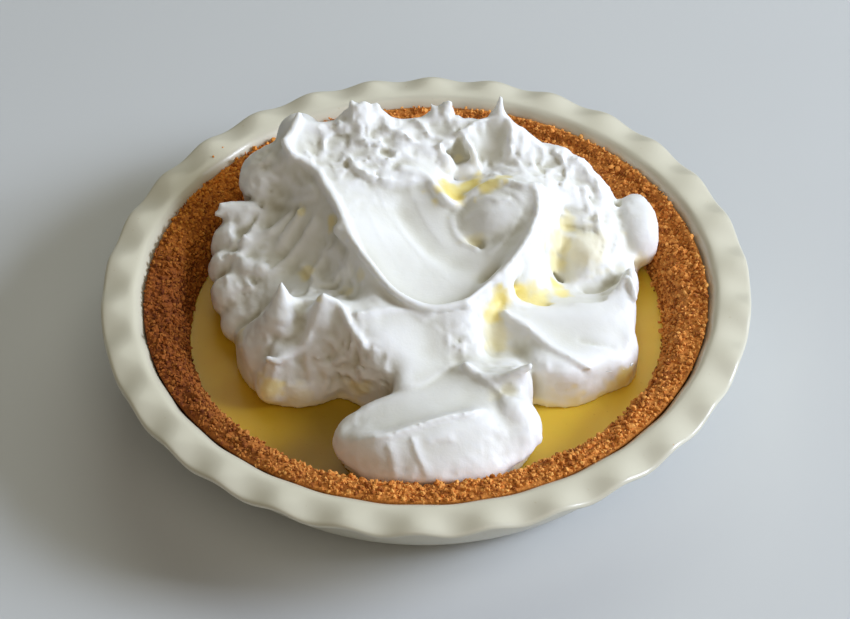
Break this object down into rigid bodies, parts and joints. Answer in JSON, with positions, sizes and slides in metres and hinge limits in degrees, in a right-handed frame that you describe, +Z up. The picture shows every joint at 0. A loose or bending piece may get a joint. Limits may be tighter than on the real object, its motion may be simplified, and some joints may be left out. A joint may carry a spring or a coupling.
{
  "type": "lemon meringue pie",
  "caption": "Whole lemon meringue pie in a round fluted dish: crumb crust, smooth lemon filling and a loose heap of spooned meringue.",
  "frame": {"origin": "middle of the dish's flat base, on the surface that it stands on", "axes": "+Z up out of the dish; -Y towards the viewer of the picture, where the meringue's tongue reaches the crust; +X to the right"},
  "size_m": [0.272, 0.272, 0.0865],
  "materials": {
    "dish_glaze": "glossy cream glaze",
    "crumb_crust": "rough toasted crumbs",
    "lemon_filling": "smooth set curd",
    "whipped_meringue": "soft whipped foam"
  },
  "bodies": {
    "root": {"dish": "dish_glaze", "crust": "crumb_crust", "filling": "lemon_filling", "meringue": "whipped_meringue"}
  },
  "joints": []
}
